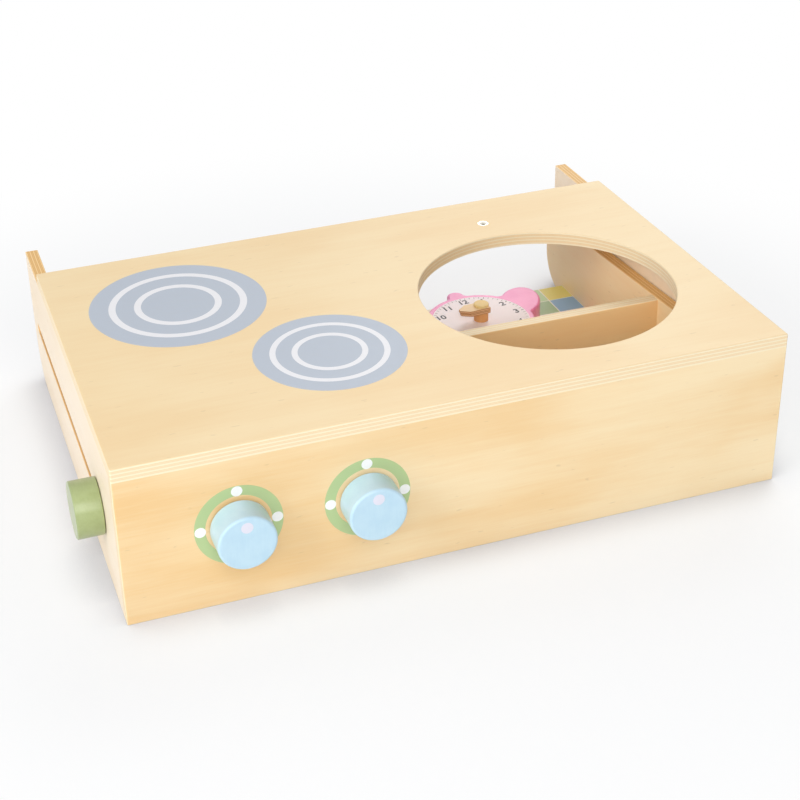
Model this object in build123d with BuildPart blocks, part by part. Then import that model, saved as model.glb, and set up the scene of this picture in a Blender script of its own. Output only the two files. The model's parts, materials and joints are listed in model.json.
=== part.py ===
from build123d import *
import os
from math import hypot, isclose, radians, tan

os.makedirs("parts", exist_ok=True)

# Table-top play cooker in birch plywood: a low box with a top board, a front panel and two side
# panels, open at the back and underneath. A back unit (two arms, a shelf and a back board with a
# toy clock) is stowed inside it and slides out on clamp bolts in the slots of the side panels.
# Millimetres. The origin is on the table, under the middle of the box that holds the whole toy.
# +X is to the right, +Y to the back and +Z up.

# ---------------------------------------------------------------- driving dimensions
width = 480.0              # top board, left to right
top_depth = 295.0          # top board, front to back
height = 121.0             # table to the top face
ply = 10.0                 # every board
edge_round = 1.0           # worn edge of the top board
edge_ease = 0.5            # sanded edges of the other boards
panel_round = 33.0         # lower back corner of the side panels

sink_d = 191.0             # cut-out for the sink bowl
sink_from_front = 129.0
basin_x = 115.0            # sink and tap share this line
tap_behind_sink = 26.5     # from the rim of the cut-out
tap_insert_d = 8.4         # metal insert for the tap
tap_thread_d = 4.0
tap_mouth_d = 6.4          # countersunk mouth of the insert

knob_d = 40.0              # every knob
knob_round = 2.0
hob_knob_len = 21.5
hob_knob_x = (-160.5, -72.0)
hob_knob_z = 60.5
hob_screw_d = 4.0
hob_screw_bite = 16.0      # thread in the knob
hob_head_d = 9.0
hob_head_len = 3.0
hob_drive = 2.5            # hexagon socket, across flats
hob_drive_depth = 2.0
hob_washer_d = 12.0
hob_washer_len = 1.5

clamp_knob_len = 19.0
clamp_rim_gap = 0.4        # side panel to the knob's rim
clamp_bolt_d = 8.0
clamp_bite = 14.0          # bolt inside the knob
clamp_head_d = 18.0
clamp_head_len = 4.0
clamp_neck = 8.0           # square neck of the bolt
clamp_neck_len = 5.0
clamp_washer_d = 20.0
clamp_washer_len = 1.6
insert_d = 12.0            # threaded insert in the clamp knob
insert_len = 13.0

pivot_from_front = 66.0    # clamp bolts, back unit stowed
pivot_z = 53.0
slide_travel = 269.0       # stowed to fully out
slot_end_wall = 25.0       # side panels, behind the clamp bolts when fully out

arm_clear = 5.0            # table to the arms
arm_inset = 10.5           # arms end short of the side panels' back end
arm_round = 33.0
arm_tip_round = 10.0
arm_depth_at_pivot = 34.5  # bolt up to the arm's upper edge
arm_depth_at_back = 17.0   # the same, at the arm's back end
arm_nose_round = 30.0
shelf_from_front = 145.5

clock_x = 116.5
clock_from_back = 60.0     # from the back board's rear edge
clock_turn = 4.5           # degrees; the clock sits slightly askew
clock_thick = 15.0
clock_round = 2.0
clock_r = 46.0
bell_long = 24.7           # bells beside the dial: half their length
bell_short = 17.1          # and half their breadth
bell_at = (46.4, 17.6)
bell_lean = 56.5           # degrees
winder_r = 7.5             # small round knob at the top of the dial
winder_at = (0.0, 48.0)
neck_round = 4.0
post_d = 12.0
post_len = 8.0
hand_thick = 2.5
hand_wide = 13.0
hand_tip = 3.0
hand_point = 7.0           # tapered length
hand_tail = 5.5
hour_reach = 19.0
minute_reach = 20.0
hand_ease = 0.4            # rounded edges of the hands
peg_d = 5.0
peg_head_d = 12.6
peg_head_len = 2.0
peg_depth = 8.0            # stem inside the clock body

dowel_d = 6.0
dowel_shallow = 6.0        # in the face of a board
dowel_deep = 10.0          # in the edge of a board
dowel_inset = 24.0         # first and last dowel, from the ends of the joint
top_dowel_count = 4        # along each panel
corner_dowel_count = 2
screw_d = 3.5
screw_head_d = 7.0         # countersunk
screw_head_angle = 90
screw_len = 28.0
shelf_end_inset = 24.0     # arm screws in the shelf, from its edges
board_end_inset = 30.0     # arm screws in the back board, from its edges
shelf_screw_inset = 55.0   # shelf screws, from the arms
drive_reach = 3.6          # cross recess in the screw heads, tip to tip
drive_wide = 1.0
drive_depth = 1.2
clock_screw_bite = 6.0
clock_screw_reach = 21.0   # from the middle of the clock

# ---------------------------------------------------------------- clearances
glue_gap = 0.03            # round wood or metal in its own hole, on the radius
run_gap = 0.05             # turning fits, on the radius
slot_play = 0.25           # clamp bolt in its slot, on each side
side_gap = 1.0             # arm to side panel, filled by a washer at the bolt
washer_play = 0.5          # clamp washer in the recess of the knob, on the radius
stack_gap = 0.2            # between turning pieces on one peg
blind_gap = 1.0            # end of a screw or dowel to the end of its hole

# ---------------------------------------------------------------- derived places
hob_reach = hob_washer_len + hob_knob_len
panel_reach = pivot_from_front + slide_travel + slot_end_wall
front_y = (hob_reach - panel_reach) / 2
inner_y = front_y + ply                      # back face of the front panel
top_back_y = front_y + top_depth
ear_y = front_y + panel_reach                # back end of the side panels
panel_z = height - ply                       # upper edge of the panels
panel_x = width / 2 - ply                    # inner face of a side panel
arm_out_x = panel_x - side_gap
arm_in_x = arm_out_x - ply
pivot_y = front_y + pivot_from_front
out_y = pivot_y + slide_travel
sink_y = front_y + sink_from_front
tap_y = sink_y + sink_d / 2 + tap_behind_sink
arm_back_y = ear_y - arm_inset
arm_nose_y = pivot_y - (pivot_z - arm_clear)
arm_fall = (arm_depth_at_pivot - arm_depth_at_back) / (arm_back_y - pivot_y)
shelf_y = front_y + shelf_from_front
shelf_back_y = shelf_y + ply


def arm_top(y):
    """Height of the arms' sloping upper edge."""
    return pivot_z + arm_depth_at_pivot - arm_fall * (y - pivot_y)


def spread(start, end, count):
    """Evenly spaced places from start to end, both included."""
    return [start + (end - start) * step / (count - 1) for step in range(count)]


shelf_z = arm_top(shelf_back_y)
board_back_y = arm_back_y - arm_round
board_z = arm_clear + ply                    # upper face of the back board
clock_y = board_back_y - clock_from_back
dial_z = board_z + clock_thick
hour_z = dial_z + post_len
minute_z = hour_z + hand_thick + stack_gap
peg_head_z = minute_z + hand_thick + stack_gap

# Dowel places, shared by both boards of each joint
side_dowel_y = spread(inner_y + dowel_inset, top_back_y - dowel_inset, top_dowel_count)
front_dowel_x = spread(dowel_inset - panel_x, panel_x - dowel_inset, top_dowel_count)
corner_dowel_z = spread(dowel_inset, panel_z - dowel_inset, corner_dowel_count)
panel_mid_x = width / 2 - ply / 2
front_mid_y = front_y + ply / 2
top_dowels_at = [(side * panel_mid_x, y) for side in (-1, 1) for y in side_dowel_y]
top_dowels_at += [(x, front_mid_y) for x in front_dowel_x]
corner_dowels_at = [(side * panel_mid_x, z) for side in (-1, 1) for z in corner_dowel_z]

# Screws through the arms, into the ends of the shelf and of the back board
shelf_mid_y = shelf_y + ply / 2
board_mid_z = arm_clear + ply / 2
shelf_end_z = spread(arm_clear + shelf_end_inset, shelf_z - shelf_end_inset, 2)
board_end_y = spread(shelf_back_y + board_end_inset, board_back_y - board_end_inset, 3)
arm_screws_at = [(shelf_mid_y, z) for z in shelf_end_z]
arm_screws_at += [(y, board_mid_z) for y in board_end_y]
shelf_screws_at = spread(shelf_screw_inset - arm_in_x, arm_in_x - shelf_screw_inset, 3)
clock_screws_at = [(clock_x + side * clock_screw_reach, clock_y) for side in (-1, 1)]
clock_screw_len = ply + clock_screw_bite

dowel_hole_r = dowel_d / 2 + glue_gap
screw_hole_r = screw_d / 2 + glue_gap
screw_head_r = screw_head_d / 2
screw_head_len = (screw_head_r - screw_d / 2) / tan(radians(screw_head_angle / 2))
clamp_hole_r = clamp_bolt_d / 2 + run_gap
clamp_at = (pivot_y, pivot_z)
clamp_rim_x = width / 2 + clamp_rim_gap
clamp_seat_x = width / 2 + clamp_washer_len  # bottom of the recess in the knob


def arm_screw_planes(sign):
    """Planes on an arm's outer face, one for each of its screws, facing outwards."""
    return [Plane((sign * arm_out_x, y, z), z_dir=(sign, 0, 0)) for y, z in arm_screws_at]


shelf_screw_planes = [Plane((x, shelf_y, board_mid_z), z_dir=(0, -1, 0)) for x in shelf_screws_at]
clock_screw_planes = [Plane((x, y, arm_clear), z_dir=(0, 0, -1)) for x, y in clock_screws_at]
from_head = (Align.CENTER, Align.CENTER, Align.MAX)


# ---------------------------------------------------------------- the box
with BuildPart() as top_board:
    with BuildSketch(Plane.XY.offset(panel_z)):
        with Locations((0, front_y + top_depth / 2)):
            Rectangle(width, top_depth)
        with Locations((basin_x, sink_y)):
            Circle(sink_d / 2, mode=Mode.SUBTRACT)
        with Locations((basin_x, tap_y)):
            Circle(tap_insert_d / 2 + glue_gap, mode=Mode.SUBTRACT)
    extrude(amount=ply)
    fillet(top_board.edges().filter_by(Axis.Z), edge_round)
    upper = top_board.faces().sort_by(Axis.Z)[-1]
    round_rims = upper.edges().filter_by(GeomType.CIRCLE).filter_by(lambda rim: rim.is_closed)
    tap_rim = round_rims.sort_by(Edge.length)[0]
    fillet(upper.edges() - [tap_rim], edge_round)
    with BuildSketch(Plane.XY.offset(panel_z)):
        with Locations(*top_dowels_at):
            Circle(dowel_hole_r)
    extrude(amount=dowel_shallow + blind_gap, mode=Mode.SUBTRACT)
top_board.part.label = "top_board"
export_step(top_board.part, "parts/top_board.step")

with BuildPart() as front_panel:
    with BuildSketch(Plane.XY):
        with Locations((0, front_mid_y)):
            Rectangle(width, ply)
    extrude(amount=panel_z)
    fillet(front_panel.edges().filter_by(Axis.Z).group_by(Axis.Y)[0], edge_round)
    fillet(front_panel.faces().sort_by(Axis.Z)[0].edges(), edge_ease)
    with BuildSketch(Plane.XZ.offset(-front_y)):
        with Locations(*[(x, hob_knob_z) for x in hob_knob_x]):
            Circle(hob_screw_d / 2 + run_gap)
    extrude(amount=-ply, mode=Mode.SUBTRACT)
    with BuildSketch(Plane.XY.offset(panel_z)):
        with Locations(*[(x, front_mid_y) for x in front_dowel_x]):
            Circle(dowel_hole_r)
    extrude(amount=-dowel_deep - blind_gap, mode=Mode.SUBTRACT)
    with BuildSketch(Plane.XZ.offset(-inner_y)):
        with Locations(*corner_dowels_at):
            Circle(dowel_hole_r)
    extrude(amount=dowel_shallow + blind_gap, mode=Mode.SUBTRACT)
front_panel.part.label = "front_panel"
export_step(front_panel.part, "parts/front_panel.step")

for side, sign in (("left", -1), ("right", 1)):
    with BuildPart() as side_panel:
        with BuildSketch(Plane.YZ.offset(sign * panel_mid_x)) as outline:
            with Locations(((inner_y + ear_y) / 2, panel_z / 2)):
                Rectangle(ear_y - inner_y, panel_z)
            fillet(outline.vertices().group_by(Axis.X)[-1].sort_by(Axis.Y)[0], panel_round)
            with Locations(((pivot_y + out_y) / 2, pivot_z)):
                SlotCenterToCenter(slide_travel, clamp_bolt_d + 2 * slot_play, mode=Mode.SUBTRACT)
        extrude(amount=ply / 2, both=True)
        fillet(side_panel.faces().filter_by(Axis.X).edges(), edge_ease)
        with BuildSketch(Plane.XY.offset(panel_z)):
            with Locations(*[(sign * panel_mid_x, y) for y in side_dowel_y]):
                Circle(dowel_hole_r)
        extrude(amount=-dowel_deep - blind_gap, mode=Mode.SUBTRACT)
        with BuildSketch(Plane.XZ.offset(-inner_y)):
            with Locations(*[(sign * panel_mid_x, z) for z in corner_dowel_z]):
                Circle(dowel_hole_r)
        extrude(amount=-dowel_deep - blind_gap, mode=Mode.SUBTRACT)
    side_panel.part.label = f"side_panel_{side}"
    export_step(side_panel.part, f"parts/side_panel_{side}.step")

with BuildPart() as top_dowels:
    with BuildSketch(Plane.XY.offset(panel_z - dowel_deep)):
        with Locations(*top_dowels_at):
            Circle(dowel_d / 2)
    extrude(amount=dowel_deep + dowel_shallow)
top_dowels.part.label = "top_dowels"
export_step(top_dowels.part, "parts/top_dowels.step")

with BuildPart() as corner_dowels:
    with BuildSketch(Plane.XZ.offset(-inner_y - dowel_deep)):
        with Locations(*corner_dowels_at):
            Circle(dowel_d / 2)
    extrude(amount=dowel_deep + dowel_shallow)
corner_dowels.part.label = "corner_dowels"
export_step(corner_dowels.part, "parts/corner_dowels.step")

tap_mouth = (tap_mouth_d - tap_thread_d) / 2
with BuildPart() as tap_insert:
    with BuildSketch(Plane.XY.offset(panel_z)):
        with Locations((basin_x, tap_y)):
            Circle(tap_insert_d / 2)
            Circle(tap_thread_d / 2, mode=Mode.SUBTRACT)
    extrude(amount=ply)
    chamfer(tap_insert.edges().group_by(Axis.Z)[-1].sort_by(Edge.length)[0], tap_mouth)
tap_insert.part.label = "tap_insert"
export_step(tap_insert.part, "parts/tap_insert.step")

# ---------------------------------------------------------------- hob knobs
# Each knob turns on a screw that comes through the front panel from inside
hob_washer_plane = Plane.XZ.offset(-front_y)
hob_plate_plane = Plane.XZ.offset(-inner_y)
hob_face_y = front_y - hob_reach
hob_screw_len = hob_washer_len + ply + hob_washer_len + hob_screw_bite

with BuildPart() as hob_spacers:
    with BuildSketch(hob_washer_plane):
        with Locations(*[(x, hob_knob_z) for x in hob_knob_x]):
            Circle(hob_washer_d / 2)
            Circle(hob_screw_d / 2 + run_gap, mode=Mode.SUBTRACT)
    extrude(amount=hob_washer_len)
hob_spacers.part.label = "hob_spacers"
export_step(hob_spacers.part, "parts/hob_spacers.step")

with BuildPart() as hob_washers:
    with BuildSketch(hob_plate_plane):
        with Locations(*[(x, hob_knob_z) for x in hob_knob_x]):
            Circle(hob_washer_d / 2)
            Circle(hob_screw_d / 2 + run_gap, mode=Mode.SUBTRACT)
    extrude(amount=-hob_washer_len)
hob_washers.part.label = "hob_washers"
export_step(hob_washers.part, "parts/hob_washers.step")

for side, knob_x in zip(("left", "right"), hob_knob_x):
    with BuildPart() as hob_knob:
        with BuildSketch(Plane.XZ.offset(-hob_face_y)):
            with Locations((knob_x, hob_knob_z)):
                Circle(knob_d / 2)
        extrude(amount=-hob_knob_len)
        fillet(hob_knob.edges().group_by(Axis.Y)[0], knob_round)
        fillet(hob_knob.edges().group_by(Axis.Y)[-1], knob_round / 2)
        with BuildSketch(Plane.XZ.offset(-front_y + hob_washer_len)):
            with Locations((knob_x, hob_knob_z)):
                Circle(hob_screw_d / 2 + glue_gap)
        extrude(amount=hob_screw_bite + blind_gap, mode=Mode.SUBTRACT)
    hob_knob.part.label = f"hob_knob_{side}"
    export_step(hob_knob.part, f"parts/hob_knob_{side}.step")

    with BuildPart() as hob_screw:
        with BuildSketch(Plane.XZ.offset(-inner_y - hob_washer_len)):
            with Locations((knob_x, hob_knob_z)):
                Circle(hob_screw_d / 2)
        extrude(amount=hob_screw_len)
        with BuildSketch(Plane.XZ.offset(-inner_y - hob_washer_len)):
            with Locations((knob_x, hob_knob_z)):
                Circle(hob_head_d / 2)
        extrude(amount=-hob_head_len)
        fillet(hob_screw.edges().group_by(Axis.Y)[-1], hob_head_len / 3)
        with BuildSketch(Plane.XZ.offset(-inner_y - hob_washer_len - hob_head_len)):
            with Locations((knob_x, hob_knob_z)):
                RegularPolygon(hob_drive / 2, 6, major_radius=False)
        extrude(amount=hob_drive_depth, mode=Mode.SUBTRACT)
    hob_screw.part.label = f"hob_screw_{side}"
    export_step(hob_screw.part, f"parts/hob_screw_{side}.step")

# ---------------------------------------------------------------- the back unit
for side, sign in (("left", -1), ("right", 1)):
    with BuildPart() as arm:
        with BuildSketch(Plane.YZ.offset(sign * (arm_in_x + arm_out_x) / 2)) as outline:
            with BuildLine():
                Polyline(
                    (arm_nose_y, arm_clear),
                    (arm_back_y, arm_clear),
                    (arm_back_y, arm_top(arm_back_y)),
                    (arm_nose_y, arm_top(arm_nose_y)),
                    close=True,
                )
            make_face()
            fillet(outline.vertices().group_by(Axis.X)[0].sort_by(Axis.Y)[0], pivot_y - arm_nose_y)
            fillet(outline.vertices().group_by(Axis.X)[0].sort_by(Axis.Y)[-1], arm_nose_round)
            fillet(outline.vertices().group_by(Axis.X)[-1].sort_by(Axis.Y)[0], arm_round)
            fillet(outline.vertices().group_by(Axis.X)[-1].sort_by(Axis.Y)[-1], arm_tip_round)
        extrude(amount=ply / 2, both=True)
        fillet(arm.faces().filter_by(Axis.X).edges(), edge_ease)
        with BuildSketch(Plane.YZ.offset(sign * arm_out_x)):
            with Locations((pivot_y, pivot_z)):
                Circle(clamp_bolt_d / 2 + glue_gap)
        extrude(amount=-sign * ply, mode=Mode.SUBTRACT)
        with BuildSketch(Plane.YZ.offset(sign * arm_in_x)):
            with Locations((pivot_y, pivot_z)):
                Rectangle(clamp_neck + 2 * glue_gap, clamp_neck + 2 * glue_gap)
        extrude(amount=sign * clamp_neck_len, mode=Mode.SUBTRACT)
        with Locations(*arm_screw_planes(sign)):
            CounterSinkHole(screw_hole_r, screw_head_r + glue_gap, ply, screw_head_angle)
    arm.part.label = f"arm_{side}"
    export_step(arm.part, f"parts/arm_{side}.step")

with BuildPart() as shelf:
    with BuildSketch(Plane.XY.offset(arm_clear)):
        with Locations((0, shelf_mid_y)):
            Rectangle(2 * arm_in_x, ply)
    extrude(amount=shelf_z - arm_clear)
    fillet(shelf.edges().group_by(Axis.Z)[-1].filter_by(Axis.X), edge_round)
    with Locations(*shelf_screw_planes):
        CounterSinkHole(screw_hole_r, screw_head_r + glue_gap, ply, screw_head_angle)
    with Locations(*arm_screw_planes(-1), *arm_screw_planes(1)):
        Cylinder(screw_hole_r, screw_len + blind_gap, align=from_head, mode=Mode.SUBTRACT)
shelf.part.label = "shelf"
export_step(shelf.part, "parts/shelf.step")

with BuildPart() as back_board:
    with BuildSketch(Plane.XY.offset(arm_clear)):
        with Locations((0, (shelf_back_y + board_back_y) / 2)):
            Rectangle(2 * arm_in_x, board_back_y - shelf_back_y)
    extrude(amount=ply)
    fillet(back_board.faces().sort_by(Axis.Y)[-1].edges().filter_by(Axis.X), edge_round)
    with Locations(*clock_screw_planes):
        CounterSinkHole(screw_hole_r, screw_head_r + glue_gap, ply, screw_head_angle)
    with Locations(*arm_screw_planes(-1), *arm_screw_planes(1), *shelf_screw_planes):
        Cylinder(screw_hole_r, screw_len + blind_gap, align=from_head, mode=Mode.SUBTRACT)
back_board.part.label = "back_board"
export_step(back_board.part, "parts/back_board.step")

with BuildPart() as arm_screws:
    with Locations(*arm_screw_planes(-1), *arm_screw_planes(1)):
        Cylinder(screw_d / 2, screw_len, align=from_head)
        Cone(screw_d / 2, screw_head_r, screw_head_len, align=from_head)
        Box(drive_reach, drive_wide, drive_depth, align=from_head, mode=Mode.SUBTRACT)
        Box(drive_wide, drive_reach, drive_depth, align=from_head, mode=Mode.SUBTRACT)
arm_screws.part.label = "arm_screws"
export_step(arm_screws.part, "parts/arm_screws.step")

with BuildPart() as shelf_screws:
    with Locations(*shelf_screw_planes):
        Cylinder(screw_d / 2, screw_len, align=from_head)
        Cone(screw_d / 2, screw_head_r, screw_head_len, align=from_head)
        Box(drive_reach, drive_wide, drive_depth, align=from_head, mode=Mode.SUBTRACT)
        Box(drive_wide, drive_reach, drive_depth, align=from_head, mode=Mode.SUBTRACT)
shelf_screws.part.label = "shelf_screws"
export_step(shelf_screws.part, "parts/shelf_screws.step")

# ---------------------------------------------------------------- clamps, one on each side
clamp_bolt_len = ply + side_gap + ply + clamp_washer_len + clamp_bite
for side, sign in (("left", -1), ("right", 1)):
    with BuildPart() as clamp_bolt:
        with BuildSketch(Plane.YZ.offset(sign * arm_in_x)):
            with Locations(clamp_at):
                Circle(clamp_bolt_d / 2)
        extrude(amount=sign * clamp_bolt_len)
        with BuildSketch(Plane.YZ.offset(sign * arm_in_x)):
            with Locations(clamp_at):
                Rectangle(clamp_neck, clamp_neck)
        extrude(amount=sign * (clamp_neck_len - glue_gap))
        with BuildSketch(Plane.YZ.offset(sign * arm_in_x)):
            with Locations(clamp_at):
                Circle(clamp_head_d / 2)
        extrude(amount=-sign * clamp_head_len)
        rims = clamp_bolt.edges().filter_by(GeomType.CIRCLE)
        fillet(rims.sort_by(lambda rim: sign * rim.center().X)[0], clamp_head_len / 2)
    clamp_bolt.part.label = f"clamp_bolt_{side}"
    export_step(clamp_bolt.part, f"parts/clamp_bolt_{side}.step")

    with BuildPart() as clamp_insert:
        with BuildSketch(Plane.YZ.offset(sign * clamp_seat_x)):
            with Locations(clamp_at):
                Circle(insert_d / 2)
                Circle(clamp_hole_r, mode=Mode.SUBTRACT)
        extrude(amount=sign * insert_len)
    clamp_insert.part.label = f"clamp_insert_{side}"
    export_step(clamp_insert.part, f"parts/clamp_insert_{side}.step")

    with BuildPart() as clamp_knob:
        with BuildSketch(Plane.YZ.offset(sign * clamp_rim_x)):
            with Locations(clamp_at):
                Circle(knob_d / 2)
        extrude(amount=sign * clamp_knob_len)
        fillet(clamp_knob.edges().filter_by(GeomType.CIRCLE), knob_round / 2)
        with BuildSketch(Plane.YZ.offset(sign * clamp_rim_x)):
            with Locations(clamp_at):
                Circle(clamp_washer_d / 2 + washer_play)
        extrude(amount=sign * (clamp_washer_len - clamp_rim_gap), mode=Mode.SUBTRACT)
        with BuildSketch(Plane.YZ.offset(sign * clamp_seat_x)):
            with Locations(clamp_at):
                Circle(insert_d / 2 + glue_gap)
        extrude(amount=sign * (max(insert_len, clamp_bite) + blind_gap), mode=Mode.SUBTRACT)
    clamp_knob.part.label = f"clamp_knob_{side}"
    export_step(clamp_knob.part, f"parts/clamp_knob_{side}.step")

with BuildPart() as clamp_washers:
    for sign in (-1, 1):
        with BuildSketch(Plane.YZ.offset(sign * width / 2)):
            with Locations(clamp_at):
                Circle(clamp_washer_d / 2)
                Circle(clamp_hole_r, mode=Mode.SUBTRACT)
        extrude(amount=sign * clamp_washer_len)
clamp_washers.part.label = "clamp_washers"
export_step(clamp_washers.part, "parts/clamp_washers.step")

with BuildPart() as arm_washers:
    for sign in (-1, 1):
        with BuildSketch(Plane.YZ.offset(sign * arm_out_x)):
            with Locations(clamp_at):
                Circle(clamp_washer_d / 2)
                Circle(clamp_hole_r, mode=Mode.SUBTRACT)
        extrude(amount=sign * side_gap)
arm_washers.part.label = "arm_washers"
export_step(arm_washers.part, "parts/arm_washers.step")

# ---------------------------------------------------------------- the toy clock
peg_hole_r = peg_d / 2 + run_gap


def clock_plane(z):
    """Level plane on the clock's axis, turned with the clock."""
    return Plane((clock_x, clock_y, z)).rotated((0, 0, clock_turn))


def on_clock_rim(corner):
    """True for a corner of the outline that lies on the edge of the round dial."""
    return isclose(hypot(corner.X, corner.Y), clock_r, abs_tol=0.01)


with BuildPart() as clock_body:
    with BuildSketch(clock_plane(board_z)) as outline:
        Circle(clock_r)
        for side in (-1, 1):
            with Locations((side * bell_at[0], bell_at[1])):
                Ellipse(bell_long, bell_short, rotation=side * bell_lean)
        with Locations(winder_at):
            Circle(winder_r)
        necks = [corner for corner in outline.vertices() if on_clock_rim(corner)]
        fillet(necks, neck_round)
    extrude(amount=clock_thick)
    fillet(clock_body.edges().group_by(Axis.Z)[-1], clock_round)
    with BuildSketch(clock_plane(dial_z)):
        Circle(peg_d / 2 + glue_gap)
    extrude(amount=-peg_depth - blind_gap / 2, mode=Mode.SUBTRACT)
    with Locations(*clock_screw_planes):
        Cylinder(screw_hole_r, clock_screw_len + blind_gap, align=from_head, mode=Mode.SUBTRACT)
clock_body.part.label = "clock_body"
export_step(clock_body.part, "parts/clock_body.step")

with BuildPart() as clock_screws:
    with Locations(*clock_screw_planes):
        Cylinder(screw_d / 2, clock_screw_len, align=from_head)
        Cone(screw_d / 2, screw_head_r, screw_head_len, align=from_head)
        Box(drive_reach, drive_wide, drive_depth, align=from_head, mode=Mode.SUBTRACT)
        Box(drive_wide, drive_reach, drive_depth, align=from_head, mode=Mode.SUBTRACT)
clock_screws.part.label = "clock_screws"
export_step(clock_screws.part, "parts/clock_screws.step")

with BuildPart() as clock_post:
    with BuildSketch(clock_plane(dial_z)):
        Circle(post_d / 2)
        Circle(peg_hole_r, mode=Mode.SUBTRACT)
    extrude(amount=post_len)
clock_post.part.label = "clock_post"
export_step(clock_post.part, "parts/clock_post.step")

hands = (("hour_hand", hour_z, hour_reach), ("minute_hand", minute_z, minute_reach))
for hand_name, hand_z, reach in hands:
    with BuildPart() as hand:
        with BuildSketch(clock_plane(hand_z)):
            with BuildLine():
                Polyline(
                    (hand_tail, -hand_wide / 2),
                    (hand_tail, hand_wide / 2),
                    (hand_point - reach, hand_wide / 2),
                    (-reach, hand_tip / 2),
                    (-reach, -hand_tip / 2),
                    (hand_point - reach, -hand_wide / 2),
                    close=True,
                )
            make_face()
        extrude(amount=hand_thick)
        fillet(hand.faces().filter_by(Axis.Z).edges(), hand_ease)
        with BuildSketch(clock_plane(hand_z)):
            Circle(peg_hole_r)
        extrude(amount=hand_thick, mode=Mode.SUBTRACT)
    hand.part.label = hand_name
    export_step(hand.part, f"parts/{hand_name}.step")

with BuildPart() as clock_peg:
    with BuildSketch(clock_plane(dial_z - peg_depth)):
        Circle(peg_d / 2)
    extrude(amount=peg_head_z - dial_z + peg_depth)
    with BuildSketch(clock_plane(peg_head_z)):
        Circle(peg_head_d / 2)
    extrude(amount=peg_head_len)
    fillet(clock_peg.edges().group_by(Axis.Z)[-1], 0.45 * peg_head_len)
clock_peg.part.label = "clock_peg"
export_step(clock_peg.part, "parts/clock_peg.step")
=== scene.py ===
# A table-top play cooker in pale birch plywood, seen from its front left. The boards, knobs, bolts and
# clock parts come from the frame and get their finishes here. The inks on them are new pieces.
import json
import math

import bpy
from mathutils import Matrix, Vector

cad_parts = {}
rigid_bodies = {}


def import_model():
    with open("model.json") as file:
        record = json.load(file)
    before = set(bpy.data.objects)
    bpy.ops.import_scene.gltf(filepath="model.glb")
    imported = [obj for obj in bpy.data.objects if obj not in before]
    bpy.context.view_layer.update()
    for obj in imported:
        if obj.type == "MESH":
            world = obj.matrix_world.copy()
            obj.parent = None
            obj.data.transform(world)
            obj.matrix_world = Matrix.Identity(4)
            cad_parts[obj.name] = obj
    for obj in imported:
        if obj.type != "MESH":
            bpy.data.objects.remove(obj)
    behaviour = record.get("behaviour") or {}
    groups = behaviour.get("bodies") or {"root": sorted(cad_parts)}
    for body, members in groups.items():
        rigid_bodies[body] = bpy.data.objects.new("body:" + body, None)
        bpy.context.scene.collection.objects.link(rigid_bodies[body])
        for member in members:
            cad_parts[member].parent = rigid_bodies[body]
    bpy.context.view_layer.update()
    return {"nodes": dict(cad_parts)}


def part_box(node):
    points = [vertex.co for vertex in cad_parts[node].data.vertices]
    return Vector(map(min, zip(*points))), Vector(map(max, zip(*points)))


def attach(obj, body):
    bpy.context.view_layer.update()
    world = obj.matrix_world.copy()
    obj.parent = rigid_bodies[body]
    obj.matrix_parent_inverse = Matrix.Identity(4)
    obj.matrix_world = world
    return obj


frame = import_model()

bpy.ops.object.select_all(action="DESELECT")


# ---------------------------------------------------------------- the view
# The cooker is seen from its front left and from above the counter. The camera stands where the
# corners of its boards fall on their places in the photograph, and is turned a little on its line.
view_from = Vector((-0.3474, -1.0086, 0.6639))
view_azimuth = math.radians(-17.294)
view_height = math.radians(28.163)
view_roll = math.radians(-2.082)
photo_side = 800                        # in pixels: the photograph is square
focal_length = 1603.0                   # in the same pixels
photo_middle = Vector((341.7, 324.9))   # where the camera points, in the same pixels
film_width = 36                         # in millimetres

backwards = Vector((
    math.sin(view_azimuth) * math.cos(view_height),
    -math.cos(view_azimuth) * math.cos(view_height),
    math.sin(view_height),
))
level_right = Vector((math.cos(view_azimuth), math.sin(view_azimuth), 0))
level_up = backwards.cross(level_right)
right = level_right * math.cos(view_roll) + level_up * math.sin(view_roll)
up = level_up * math.cos(view_roll) - level_right * math.sin(view_roll)
aim = Matrix((right, up, backwards)).transposed()
bpy.ops.object.camera_add(location=view_from, rotation=aim.to_euler())
camera = bpy.context.object
camera.name = "camera"
camera.data.sensor_width = film_width
camera.data.lens = focal_length * film_width / photo_side
camera.data.shift_x = (photo_side / 2 - photo_middle.x) / photo_side
camera.data.shift_y = (photo_middle.y - photo_side / 2) / photo_side
bpy.context.scene.camera = camera


# ---------------------------------------------------------------- boards of the box
# The counter, the front and both sides are 10 mm birch plywood under a clear satin lacquer. Their
# faces are peeled veneer with long faint figure, and their edges show seven plies, every second one
# across the grain and browner.
x_axis, y_axis, z_axis = 0, 1, 2        # to the right, to the back and up


def colour(red, green, blue):
    """A screen colour, from 0 to 255 in each part, as the light it stands for in sRGB."""
    shares = (value / 255 for value in (red, green, blue))
    light = (s / 12.92 if s <= 0.04045 else ((s + 0.055) / 1.055) ** 2.4 for s in shares)
    return (*light, 1)


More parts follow.
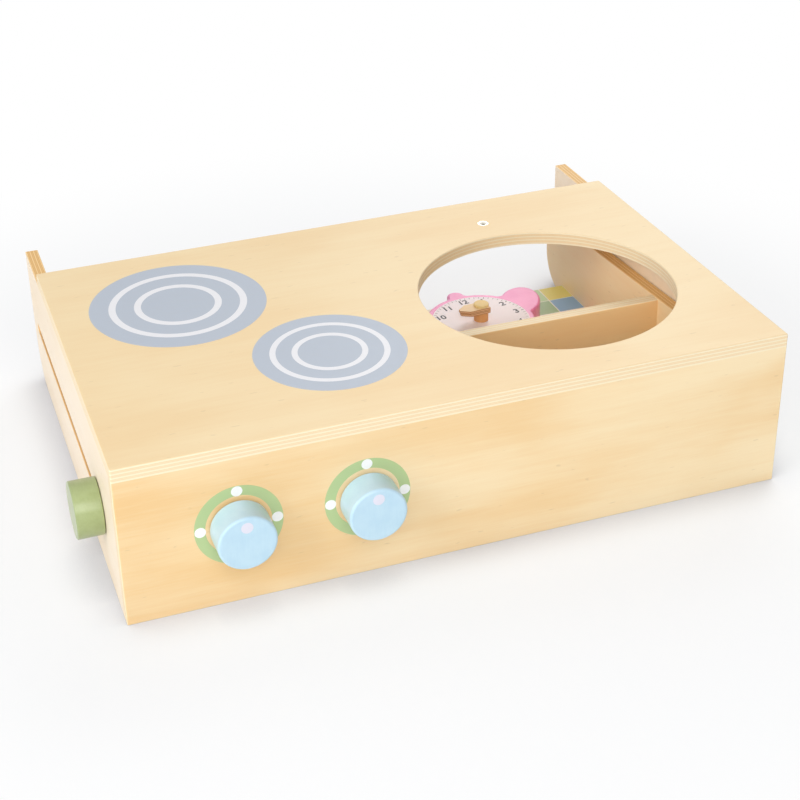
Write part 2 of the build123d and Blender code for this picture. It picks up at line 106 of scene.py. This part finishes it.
class Reading:
    """A number or a colour that changes over a surface. Sums on it are done in the finish."""

    def __init__(self, finish, socket):
        self.finish = finish
        self.socket = socket

    def maths(self, operation, *values):
        return self.finish.node("ShaderNodeMath", {"operation": operation}, values)

    def __add__(self, other):
        return self.maths("ADD", self, other)

    def __sub__(self, other):
        return self.maths("SUBTRACT", self, other)

    def __rsub__(self, other):
        return self.maths("SUBTRACT", other, self)

    def __mul__(self, other):
        return self.maths("MULTIPLY", self, other)

    def __abs__(self):
        return self.maths("ABSOLUTE", self)

    def __floordiv__(self, other):
        return self.maths("FLOOR", self.maths("DIVIDE", self, other))

    def __mod__(self, other):
        return self.maths("FLOORED_MODULO", self, other)

    __radd__ = __add__
    __rmul__ = __mul__

    def rise(self, start, end):
        """0 below start and 1 above end, with a soft step between."""
        settings = {"interpolation_type": "SMOOTHSTEP"}
        values = {"Value": self, "From Min": start, "From Max": end}
        return self.finish.node("ShaderNodeMapRange", settings, values)


class Finish:
    """The nodes of a material, or of the world. Readings start from the place, in metres."""

    def __init__(self, name, owners=bpy.data.materials):
        self.owner = owners.new(name)
        self.owner.use_nodes = True
        self.tree = self.owner.node_tree
        self.shader = self.tree.nodes.get("Principled BSDF")
        self.place = self.node("ShaderNodeTexCoord", output="Object")

    def node(self, kind, settings=None, values=(), output=0):
        """Adds a node, with values for its sockets in their order or by name, and reads an output."""
        made = self.tree.nodes.new(kind)
        for setting, choice in (settings or {}).items():
            setattr(made, setting, choice)
        sockets = values.items() if isinstance(values, dict) else enumerate(values)
        for key, value in sockets:
            self.join(value, made.inputs[key])
        return Reading(self, made.outputs[output])

    def join(self, value, socket):
        """Links a reading to a socket, or sets the socket to a plain value."""
        if isinstance(value, Reading):
            self.tree.links.new(value.socket, socket)
        else:
            socket.default_value = value

    def coordinate(self, reading, axis):
        """The part of a place or of a direction that lies along an axis."""
        return self.node("ShaderNodeSeparateXYZ", values=[reading], output=axis)

    def grain(self, axis, length, cut=0.0):
        """The place, drawn out along an axis, so that noise on it makes marks length times as long as
        wide. Another cut gives other marks."""
        scale = [1.0, 1.0, 1.0]
        scale[axis] = 1 / length
        values = {"Vector": self.place, "Location": (cut, cut, cut), "Scale": scale}
        return self.node("ShaderNodeMapping", values=values)

    def noise(self, place, size, detail=2.0, roughness=0.5, warp=0.0):
        """Smooth noise around a half, with marks about size metres wide."""
        values = {"Vector": place, "Scale": 1 / size, "Detail": detail}
        values.update({"Roughness": roughness, "Distortion": warp})
        return self.node("ShaderNodeTexNoise", values=values)

    def blend(self, share, first, second):
        """Colours mixed from first to second by share. A Mix node's colours go into its sockets 6
        and 7, and come out of 2."""
        values = {0: share, 6: first, 7: second}
        return self.node("ShaderNodeMix", {"data_type": "RGBA"}, values, output=2)

    def bump(self, height, depth):
        """Relief as deep as depth, in metres, where height goes from 0 to 1."""
        self.wear(Normal=self.node("ShaderNodeBump", values={"Distance": depth, "Height": height}))

    def wear(self, **looks):
        """Sets the shader's own values by name, such as Base_Color or Roughness."""
        for name, value in looks.items():
            self.join(value, self.shader.inputs[name.replace("_", " ")])


even_birch = (colour(247, 223, 178), colour(241, 209, 158))
warm_birch = (colour(250, 228, 186), colour(240, 201, 142))
# Painted sheen: the sides' veneer is paler and creamier than the rest. This is partly the wood's own
# tone and partly a painted sheen of the lacquer.
cream_sheen_birch = (colour(252, 236, 214), colour(247, 226, 195))
sanded_edge = (colour(252, 236, 204), colour(246, 221, 178), colour(226, 194, 144))
oiled_edge = (colour(246, 206, 142), colour(232, 184, 114), colour(158, 106, 58))
fleck_brown = colour(186, 158, 118)


def birch_plywood(name, board, across, along, cut, veneer=even_birch, edge=sanded_edge, plies=7,
                  deeper=None):
    """Plywood for one board. across is the axis through its thickness, along the axis of its face
    grain, and cut says where on the log its veneer comes from. veneer is its pale and deep colour,
    and edge its long plies, its cross plies and its glue lines. The colour of the face turns deeper
    along the board, from the first place in deeper to the second."""
    wood = Finish(name)
    low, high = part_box(board)
    clouds = wood.noise(wood.grain(along, 2.2, cut), size=0.075, detail=3, roughness=0.45, warp=0.3)
    drift = wood.noise(wood.grain(along, 9.0, cut + 2), size=0.016, detail=3, roughness=0.55)
    streaks = wood.noise(wood.grain(along, 16.0, cut + 4), size=0.0034, detail=3, roughness=0.6)
    fibres = wood.noise(wood.grain(along, 24.0, cut), size=0.0008)
    flecks = wood.noise(wood.grain(along, 4.0, cut + 6), size=0.0026, detail=1).rise(0.72, 0.80)
    figure = (clouds * 0.62 + drift * 0.24 + streaks * 0.14).rise(0.36, 0.66)
    figure = figure * 0.75 + (fibres - 0.5) * 0.25
    if deeper:
        figure = figure + wood.coordinate(wood.place, along).rise(*deeper) * 0.35
    face = wood.blend(figure, *veneer)
    face = wood.blend(flecks * 0.22, face, fleck_brown)

    # The depth in the board is counted in plies, whose thickness wavers a little.
    waver = (wood.noise(wood.place, size=0.03) - 0.5) * 0.3
    depth = (wood.coordinate(wood.place, across) - low[across]) * (plies / (high - low)[across]) + waver
    layer = depth // 1
    within = depth - layer
    glued = depth.rise(0.3, 0.7) * (plies - depth).rise(0.3, 0.7)
    seams = (1 - (within * (1 - within)).rise(0.0, 0.14)) * glued
    pores = wood.noise(wood.place, size=0.0008)
    long_ply, cross_ply, glue = edge
    side = wood.blend(layer % 2 * (0.7 + pores * 0.6), long_ply, cross_ply)
    side = wood.blend(seams * (0.3 + pores * 0.6), side, glue)

    normal = wood.node("ShaderNodeTexCoord", output="Normal")
    on_face = abs(wood.coordinate(normal, across)).rise(0.45, 0.85)
    wood.wear(Base_Color=wood.blend(on_face, side, face))
    wood.wear(Roughness=0.62 - on_face * 0.10 + (streaks - 0.5) * 0.14)
    wood.wear(Coat_Weight=0.12, Coat_Roughness=0.35)
    wood.bump(fibres * 0.5 + streaks * 0.3 + (1 - seams) * 0.5, depth=0.00004)
    return wood


def dress(finish, *nodes):
    """Puts a finish on pieces of the frame."""
    for node in nodes:
        for slot in frame["nodes"][node].material_slots:
            slot.material = finish.owner


dress(birch_plywood("birch_counter", "top_board", z_axis, x_axis, 0.0), "top_board")
front_wood = birch_plywood(
    "birch_front", "front_panel", y_axis, x_axis, 3.1, warm_birch, deeper=(-0.05, -0.22)
)
dress(front_wood, "front_panel")
# Both sides take the cream veneer, with its painted sheen.
for side, cut in (("left", 5.3), ("right", 7.7)):
    side_wood = birch_plywood(
        f"birch_side_{side}", f"side_panel_{side}", x_axis, y_axis, cut, cream_sheen_birch, oiled_edge
    )
    dress(side_wood, f"side_panel_{side}")


# ---------------------------------------------------------------- dowels
# Plain birch dowels are glued into both boards of each joint. They are cut from turned rod, with the
# grain along it.
def plain_wood(name, along, pale, brown):
    """Unpainted solid wood, with its grain along one axis."""
    wood = Finish(name)
    streaks = wood.noise(wood.grain(along, 14.0), size=0.0022, detail=4, roughness=0.6)
    rays = wood.noise(wood.grain(along, 4.0, cut=3), size=0.0009, detail=1).rise(0.66, 0.76)
    wood.wear(Base_Color=wood.blend(streaks * 0.8 + rays * 0.3, pale, brown))
    wood.wear(Roughness=0.55 + (streaks - 0.5) * 0.2)
    wood.bump(streaks, depth=0.00006)
    return wood


rod_colours = (colour(240, 214, 170), colour(205, 165, 112))
dress(plain_wood("birch_rod", z_axis, *rod_colours), "top_dowels")
dress(plain_wood("birch_rod_level", y_axis, *rod_colours), "corner_dowels")


# ---------------------------------------------------------------- hob rings
# Two cooking rings are screen-printed on the counter in grey-blue ink, each with two white circles.
# The ink lies on the lacquer as a thin even film.
ink_film = 0.00008
facing_up = (0, 0, 0)
counter_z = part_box("top_board")[1].z
bare_wood = colour(214, 196, 168)


def ink(name, shade, bare=0.05):
    """Satin printing ink, in which fibres of the wood show very faintly. bare is the most that they
    show through."""
    print_ink = Finish(name)
    fibres = print_ink.noise(print_ink.grain(x_axis, 12.0), size=0.0012)
    mottle = print_ink.noise(print_ink.place, size=0.006, detail=3)
    thin = (fibres * 0.6 + mottle * 0.4).rise(0.35, 0.75) * bare
    print_ink.wear(Base_Color=print_ink.blend(thin, shade, bare_wood))
    print_ink.wear(Roughness=0.46 + (mottle - 0.5) * 0.2)
    print_ink.bump(fibres, depth=0.00002)
    return print_ink


def settle(name, body, slot, *finishes):
    """Names the piece just made, takes its place into its mesh, and gives it its finishes and the body
    that it rides on. slot is not used."""
    piece = bpy.context.object
    piece.name = piece.data.name = name
    bpy.ops.object.transform_apply(location=True, rotation=True, scale=True)
    for finish in finishes:
        piece.data.materials.append(finish.owner)
    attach(piece, body)
    piece.select_set(False)
    return piece


def thicken(thickness):
    """Gives the flat shape just drawn its thickness, outwards from where it was drawn."""
    solid = bpy.context.object.modifiers.new("thickness", "SOLIDIFY")
    solid.thickness = thickness
    solid.offset = 1
    bpy.ops.object.modifier_apply(modifier=solid.name)


def bands(centre, facing, radii, hole=False, thickness=ink_film):
    """A round print, drawn as bands inside each other from the first radius to the last. With hole,
    it is open inside the last."""
    bpy.ops.mesh.primitive_circle_add(
        vertices=144, radius=radii[0], fill_type="NGON", location=centre, rotation=facing
    )
    bpy.ops.object.mode_set(mode="EDIT")
    bpy.ops.mesh.select_all(action="SELECT")
    for outer, inner in zip(radii, radii[1:]):
        bpy.ops.mesh.inset(thickness=outer - inner)
    if hole:
        bpy.ops.mesh.delete(type="FACE")
    bpy.ops.object.mode_set(mode="OBJECT")
    thicken(thickness)


def colour_bands(piece, centre, radii, order):
    """Gives each band of a round print the finish at its place in order."""
    for face in piece.data.polygons:
        reach = (face.center - Vector(centre)).length
        face.material_index = order[sum(reach < radius for radius in radii) - 1]


ring_edges = (1, 0.78, 0.70, 0.495, 0.416)      # of a ring and its circles, as shares of its radius
hob_ink = ink("hob_ink", colour(183, 192, 205))
circle_ink = ink("circle_ink", colour(238, 238, 242))
for side, ring_x, ring_y, ring_r in (
    ("left", -0.1487, 0.0353, 0.0657),
    ("right", -0.0657, -0.0740, 0.0542),
):
    ring_centre = (ring_x, ring_y, counter_z)
    ring_radii = [ring_r * share for share in ring_edges]
    bands(ring_centre, facing_up, ring_radii)
    ring_print = settle(f"hob_ring_{side}", "oven", "hob_ink", hob_ink, circle_ink)
    colour_bands(ring_print, ring_centre, ring_radii, order=(0, 1, 0, 1, 0))


# ---------------------------------------------------------------- tap socket
# A threaded steel insert under nickel plate is pressed into the counter behind the cut-out, flush
# with the top. A toy tap screws into it.
def metal(name, shade, roughness):
    """Plated or turned metal with fine machining marks and a few dull smudges."""
    plate = Finish(name)
    marks = plate.noise(plate.grain(x_axis, 6.0), size=0.0004, detail=3)
    smudges = plate.noise(plate.place, size=0.004)
    plate.wear(Base_Color=plate.blend(smudges * 0.4, shade, colour(150, 147, 140)), Metallic=1.0)
    plate.wear(Roughness=roughness + (marks - 0.5) * 0.2 + (smudges - 0.5) * 0.12)
    plate.bump(marks, depth=0.00001)
    return plate


dress(metal("nickel_plate", colour(255, 250, 236), 0.2), "tap_insert")


# ---------------------------------------------------------------- hob knobs
# The knobs are turned beech under pale blue satin paint. Each turns on a screw that comes through the
# front from inside, with a zinc washer under its head and a plastic spacer behind the knob. A pale
# dot is printed on the face as the pointer.
def painted_wood(name, shade, pooled, along):
    """Sprayed satin paint on turned wood: nearly even, with soft pooling and a hint of the grain."""
    paint = Finish(name)
    pooling = paint.noise(paint.place, size=0.012)
    grain = paint.noise(paint.grain(along, 9.0), size=0.0012, detail=3)
    peel = paint.noise(paint.place, size=0.0016, detail=1)
    paint.wear(Base_Color=paint.blend((pooling * 0.7 + grain * 0.3).rise(0.3, 0.75), shade, pooled))
    paint.wear(Roughness=0.34 + (peel - 0.5) * 0.12)
    paint.wear(Coat_Weight=0.3, Coat_Roughness=0.18)
    paint.bump(peel * 0.6 + grain * 0.4, depth=0.00004)
    return paint


pointer_up = 0.0124
pointer_r = 0.0040
facing_front = (math.pi / 2, 0, 0)
knob_paint = painted_wood("blue_paint", colour(195, 225, 241), colour(185, 218, 237), z_axis)
pointer_ink = ink("pointer_ink", colour(226, 226, 240))
steel = metal("steel_screw", colour(196, 196, 194), 0.36)
for side in ("left", "right"):
    knob_low, knob_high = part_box(f"hob_knob_{side}")
    knob_centre = (knob_low + knob_high) / 2
    dress(knob_paint, f"hob_knob_{side}")
    dress(steel, f"hob_screw_{side}")
    pointer_at = (knob_centre.x, knob_low.y, knob_centre.z + pointer_up)
    bands(pointer_at, facing_front, [pointer_r, pointer_r / 2])
    settle(f"knob_pointer_{side}", f"hob_knob_{side}", "white_ink", pointer_ink)

spacer_plastic = Finish("spacer_plastic")
spacer_mottle = spacer_plastic.noise(spacer_plastic.place, size=0.002, detail=3)
spacer_shade = spacer_plastic.blend(spacer_mottle, colour(232, 228, 216), colour(214, 208, 192))
spacer_plastic.wear(Base_Color=spacer_shade)
spacer_plastic.wear(Roughness=0.5 + (spacer_mottle - 0.5) * 0.2)
dress(spacer_plastic, "hob_spacers")
zinc = metal("bright_zinc", colour(236, 234, 226), 0.26)
dress(zinc, "hob_washers")


# ---------------------------------------------------------------- rings behind the knobs
# A green ring is printed on the front around each knob, with a white dot for each heat setting.
# Bare wood shows between the ring and the knob.
ring_outer = 0.0300
ring_inner = 0.0226
dot_r = 0.0038
dot_reach = 0.0260
front_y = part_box("front_panel")[0].y
ring_ink = ink("ring_ink", colour(182, 204, 146))
dot_ink = ink("dot_ink", colour(250, 250, 248), bare=0.02)
for side in ("left", "right"):
    knob_low, knob_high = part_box(f"hob_knob_{side}")
    ring_x = (knob_low.x + knob_high.x) / 2
    ring_z = (knob_low.z + knob_high.z) / 2
    bands((ring_x, front_y, ring_z), facing_front, [ring_outer, ring_inner], hole=True)
    settle(f"knob_ring_{side}", "oven", "ring_ink", ring_ink)
    for mark, turn in (("low", math.pi), ("medium", math.pi / 2), ("high", 0.0)):
        dot_at = (ring_x + dot_reach * math.cos(turn), front_y, ring_z + dot_reach * math.sin(turn))
        bands(dot_at, facing_front, [dot_r, dot_r / 2], thickness=2 * ink_film)
        settle(f"knob_dot_{mark}_{side}", "oven", "white_ink", dot_ink)


# ---------------------------------------------------------------- back unit
# Two arms, a shelf and a back board of the same plywood are screwed together and lie folded inside
# the box. The screws are countersunk into the arms and the shelf.
# Painted light: the arms' veneer is lighter and more amber than the other boards'. It stands in for the
# light and the warm shade inside the box.
arm_birch_painted_light = (colour(255, 231, 187), colour(252, 217, 166))
# Painted shade: the shelf's veneer is more orange than the other boards', standing in for the warm
# shade on its front.
shelf_birch_painted_shade = (colour(254, 221, 168), colour(249, 202, 142))
for side, cut in (("left", 9.2), ("right", 11.4)):
    arm = f"arm_{side}"
    dress(birch_plywood(f"birch_{arm}", arm, x_axis, y_axis, cut, arm_birch_painted_light, oiled_edge), arm)
dress(birch_plywood("birch_shelf", "shelf", y_axis, x_axis, 13.8, shelf_birch_painted_shade), "shelf")
dress(birch_plywood("birch_back", "back_board", z_axis, x_axis, 15.5), "back_board")
dress(steel, "arm_screws", "shelf_screws", "clock_screws")


# ---------------------------------------------------------------- patchwork print
# The face of the back board is printed all over with a patchwork of pastel squares, with a thin pale
# line between them, like tiles behind a kitchen counter. It stops where the rear edge is rounded.
patch_size = 0.023
patch_line = 0.0004
rear_round = 0.001
board_low, board_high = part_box("back_board")
board_high.y -= rear_round
board_middle = (board_low + board_high) / 2
board_size = board_high - board_low
patch_columns = round(board_size.x / patch_size)
patch_rows = round(board_size.y / patch_size)
patch_inks = [
    ink("mint_patch", colour(196, 226, 178)),
    ink("cream_patch", colour(250, 242, 214)),
    ink("lemon_patch", colour(240, 230, 136)),
    ink("rose_patch", colour(238, 192, 204)),
    ink("sky_patch", colour(146, 186, 222)),
    ink("sage_patch", colour(168, 200, 160)),
]
line_ink = ink("patch_lines", colour(250, 248, 240))
bpy.ops.mesh.primitive_grid_add(
    x_subdivisions=patch_columns,
    y_subdivisions=patch_rows,
    size=1,
    location=(board_middle.x, board_middle.y, board_high.z),
)
bpy.context.object.scale = (board_size.x, board_size.y, 1)
bpy.ops.object.transform_apply(location=False, rotation=False, scale=True)   # for an even inset
bpy.ops.object.mode_set(mode="EDIT")
bpy.ops.mesh.select_all(action="SELECT")
bpy.ops.mesh.inset(thickness=patch_line, use_individual=True)
bpy.ops.object.mode_set(mode="OBJECT")
patchwork = settle("patchwork", "back_unit", "patchwork_ink", line_ink, *patch_inks)

# The lines between the squares are narrow faces and keep the first ink. Each square takes its own
# from its column and row, in steps that never set one colour side by side.
for patch in patchwork.data.polygons:
    if patch.area > patch_size ** 2 / 2:
        column = int((patch.center.x - board_low.x) / board_size.x * patch_columns)
        row = int((patch.center.y - board_low.y) / board_size.y * patch_rows)
        patch.material_index = 1 + (column * 5 + row + column * row % 5 * 3 + 5) % len(patch_inks)
patchwork.select_set(True)
thicken(ink_film)
patchwork.select_set(False)


# ---------------------------------------------------------------- clamps
# A zinc-plated coach bolt goes through each arm and the slot in the side. A green beech knob with a
# brass insert screws down on it against a washer.
clamp_paint = painted_wood("green_paint", colour(166, 180, 128), colour(153, 167, 113), y_axis)
brass = metal("turned_brass", colour(214, 180, 110), 0.3)
for side in ("left", "right"):
    dress(zinc, f"clamp_bolt_{side}")
    dress(brass, f"clamp_insert_{side}")
    dress(clamp_paint, f"clamp_knob_{side}")
dress(zinc, "clamp_washers")
dress(spacer_plastic, "arm_washers")


# ---------------------------------------------------------------- toy clock
# The clock is sawn from board in the shape of an alarm clock, with two bells and a winder, under pink
# satin paint. It sits a little askew on the back board. Its dial is printed with plain numbers.
clock_turn = math.radians(4.5)
dial_r = 0.0410
post_clearance = 0.0001                 # between the dial's print and the post
dress(painted_wood("pink_paint", colour(250, 148, 202), colour(244, 136, 194), x_axis), "clock_body")
post_low, post_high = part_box("clock_post")
post_r = (post_high.x - post_low.x) / 2
dial_x = (post_low.x + post_high.x) / 2
dial_y = (post_low.y + post_high.y) / 2
dial_z = post_low.z
dial_ink = ink("dial_ink", colour(255, 248, 254), bare=0.02)
bands((dial_x, dial_y, dial_z), facing_up, [dial_r, post_r + post_clearance], hole=True)
settle("clock_dial", "back_unit", "dial_ink", dial_ink)


def on_dial(reach, turn, height=0.0):
    """A place on the dial, by its reach from the middle and its turn back from three o'clock."""
    return (dial_x + reach * math.cos(turn), dial_y + reach * math.sin(turn), dial_z + height)


def join_all(start):
    """Joins all the pieces whose names begin with start into the first of them."""
    pieces = [piece for piece in bpy.data.objects if piece.name.startswith(start)]
    for piece in pieces:
        piece.select_set(True)
    bpy.context.view_layer.objects.active = pieces[0]
    bpy.ops.object.join()


# Five minute marks are drawn, back from three o'clock, and the first of them is bolder for its hour.
# The five are then copied for the other hours.
other_hours = 11
mark_end = 0.0401
mark_length = 0.0022
hour_mark_width = 0.0009
minute_mark_width = 0.0005
mark_middle = mark_end - mark_length / 2
grey_ink = ink("grey_ink", colour(150, 144, 150), bare=0.03)
for minute, mark_width in enumerate([hour_mark_width] + 4 * [minute_mark_width]):
    turn = clock_turn + math.radians(360 / 60 * minute)
    bpy.ops.mesh.primitive_plane_add(size=1, location=on_dial(mark_middle, turn), rotation=(0, 0, turn))
    bpy.context.object.scale = (mark_length, mark_width, 1)
    bpy.ops.object.transform_apply(location=True, rotation=True, scale=True)
    bpy.ops.object.mode_set(mode="EDIT")
    bpy.ops.mesh.bevel(offset=mark_width / 4, segments=2, affect="VERTICES")
    bpy.ops.object.mode_set(mode="OBJECT")
    bpy.context.object.name = f"minute_mark_{minute}"
join_all("minute_mark_")
bpy.ops.object.mode_set(mode="EDIT")
bpy.ops.mesh.select_all(action="SELECT")
bpy.ops.mesh.spin(
    steps=other_hours,
    dupli=True,
    angle=math.radians(360 / 12 * other_hours),
    center=(dial_x, dial_y, dial_z),
    axis=(0, 0, 1),
)
bpy.ops.object.mode_set(mode="OBJECT")
thicken(2 * ink_film)
settle("clock_minutes", "back_unit", "black_ink", grey_ink)

number_reach = 0.0335
number_size = 0.0092
number_weight = 0.00022                 # how much bolder than the plain font
black_ink = ink("black_ink", colour(44, 42, 48), bare=0.03)
for hour in range(1, 13):
    turn = clock_turn + math.radians(90 - 360 / 12 * hour)
    bpy.ops.object.text_add(location=on_dial(number_reach, turn, ink_film), rotation=(0, 0, clock_turn))
    number = bpy.context.object
    number.name = f"hour_number_{hour}"
    number.data.body = str(hour)
    number.data.size = number_size
    number.data.offset = number_weight
    number.data.align_x = "CENTER"
    number.data.align_y = "CENTER"
    number.data.extrude = ink_film
    bpy.ops.object.convert(target="MESH")
    bpy.ops.object.transform_apply(location=True, rotation=True, scale=True)
join_all("hour_number_")
settle("clock_numbers", "back_unit", "black_ink", black_ink)


# ---------------------------------------------------------------- clock hands
# Both hands are cut from thin plywood with a laser, which browns their edges. They turn above a short
# beech post on a round-headed birch peg, stiffly enough to stay where they are put.
hand_birch = (colour(255, 230, 188), colour(246, 210, 160))
burnt_edge = (colour(196, 140, 92), colour(248, 204, 158), colour(134, 86, 52))
for hand, cut in (("hour_hand", 1.3), ("minute_hand", 2.9)):
    hand_wood = birch_plywood(f"{hand}_ply", hand, z_axis, x_axis, cut, hand_birch, burnt_edge, plies=3)
    dress(hand_wood, hand)
beech_colours = (colour(240, 182, 118), colour(214, 146, 88))
peg_colours = (colour(255, 238, 178), colour(250, 216, 144))
dress(plain_wood("turned_beech", z_axis, *beech_colours), "clock_post")
dress(plain_wood("turned_birch", x_axis, *peg_colours), "clock_peg")


# ---------------------------------------------------------------- table and light
# The cooker stands on a white table that turns to a white backdrop all round it, and that is
# painted grey-blue close round the cooker as a painted contact shadow. A softbox hangs behind it on
# the right, and two broad lamps fill in from the front and from the left.
def seen_directly(finish):
    """1 where a surface is seen directly, in a gloss or through glass, and 0 in all other light."""
    path = "ShaderNodeLightPath"
    seen = finish.node(path, output="Is Camera Ray")
    for kind in ("Is Glossy Ray", "Is Transmission Ray"):
        seen = seen.maths("MAXIMUM", seen, finish.node(path, output=kind))
    return seen


def whiten(finish, share, lit, output):
    """Mixes a shader with plain white by share, into the output node."""
    white = finish.node("ShaderNodeEmission")
    mixed = finish.node("ShaderNodeMixShader", values=[share, Reading(finish, lit.outputs[0]), white])
    finish.join(mixed, output.inputs["Surface"])


table_size = 12
shade_reach = 0.045                     # how near a piece has to be to shade the table
fade_start = 0.33                       # from the middle, to where the table fades into the backdrop
fade_end = 0.62                         # and to where all is backdrop
near_share = 0.62                       # of the backdrop's white, on the table near the cooker
room_strength = 0.32                    # of the room's light on the cooker, where 1 is white
bpy.ops.mesh.primitive_plane_add(size=table_size, location=(0, 0, 0))
table = bpy.context.object
table.name = "table"
table_top = Finish("white_table")
# Painted shadow: within shade_reach of any piece, the table's colour turns grey-blue and the backdrop's
# white fades out.
open_air = table_top.node("ShaderNodeAmbientOcclusion", values={"Distance": shade_reach}, output="AO")
clear = open_air.rise(0.4, 1.0)
table_top.wear(Base_Color=table_top.blend(clear, colour(212, 215, 224), colour(247, 249, 252)))
table_top.wear(Roughness=0.9, Specular_IOR_Level=0.1)
distance = table_top.node("ShaderNodeVectorMath", {"operation": "LENGTH"}, [table_top.place], "Value")
backdrop_share = clear * (near_share + distance.rise(fade_start, fade_end) * (1 - near_share))
table_output = table_top.tree.nodes["Material Output"]
whiten(table_top, seen_directly(table_top) * backdrop_share, table_top.shader, table_output)
table.data.materials.append(table_top.owner)

studio = Finish("studio", bpy.data.worlds)
bpy.context.scene.world = studio.owner
room = studio.tree.nodes["Background"]
room.inputs["Color"].default_value = (1, 1, 1, 1)
room.inputs["Strength"].default_value = room_strength
whiten(studio, seen_directly(studio), room, studio.tree.nodes["World Output"])

for lamp_name, lamp_at, lamp_size, lamp_power in (
    ("softbox", (0.9, 1.1, 1.3), 1.2, 13.0),
    ("window", (-0.45, -1.8, 1.35), 1.3, 21.5),
    ("reflector", (-1.85, -0.75, 1.05), 1.1, 20.5),
):
    bpy.ops.object.light_add(type="AREA", location=lamp_at)
    lamp = bpy.context.object
    lamp.name = lamp_name
    lamp.data.size = lamp_size
    lamp.data.energy = lamp_power
    lamp.rotation_euler = (-Vector(lamp_at)).to_track_quat("-Z", "Y").to_euler()

bpy.context.scene.view_settings.view_transform = "Standard"
